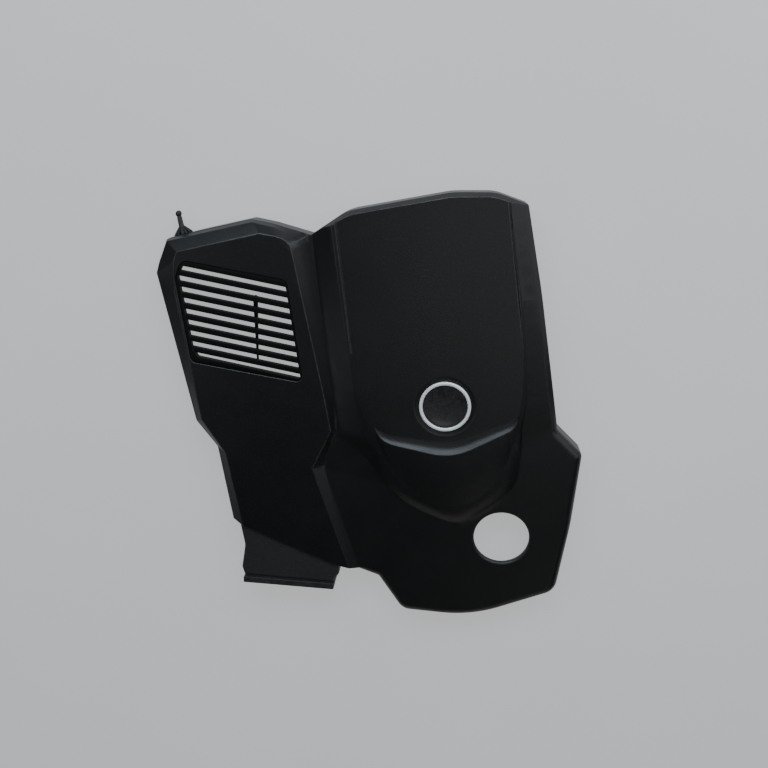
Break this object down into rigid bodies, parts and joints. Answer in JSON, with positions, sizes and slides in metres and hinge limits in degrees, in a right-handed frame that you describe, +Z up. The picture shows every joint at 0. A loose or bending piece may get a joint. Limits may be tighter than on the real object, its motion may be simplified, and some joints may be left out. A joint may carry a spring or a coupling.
{
  "type": "engine cover",
  "caption": "Black moulded engine cover with raised modules beside a valley, a slatted vent, a side air duct, an oil filler opening and a plain round badge.",
  "frame": {"origin": "centre of the cover's footprint, at the level of the rim that it rests on", "axes": "+X to the right seen from above, +Y to the rear edge behind the vent, +Z up out of the face"},
  "size_m": [0.5682, 0.6568, 0.0605],
  "materials": {
    "cover_plastic": "fine moulded grain, dull black",
    "grille_plastic": "fine grain, dull black",
    "stay_plastic": "smooth dull black",
    "duct_plastic": "smooth dull black, a little paler than the cover",
    "black_rubber": "matt black",
    "screw_steel": "plain zinc",
    "badge_black": "smooth black",
    "badge_silver": "satin bright"
  },
  "bodies": {
    "root": {"cover_shell": "cover_plastic", "vent_grille": "grille_plastic", "grille_stay": "stay_plastic", "air_duct": "duct_plastic", "duct_seal": "black_rubber", "duct_screws": "screw_steel", "badge_disc": "badge_black", "badge_ring": "badge_silver", "tail_plug": "black_rubber", "mount_rear_left": "black_rubber", "mount_rear_right": "black_rubber", "mount_front_left": "black_rubber", "mount_front_right": "black_rubber"}
  },
  "joints": []
}
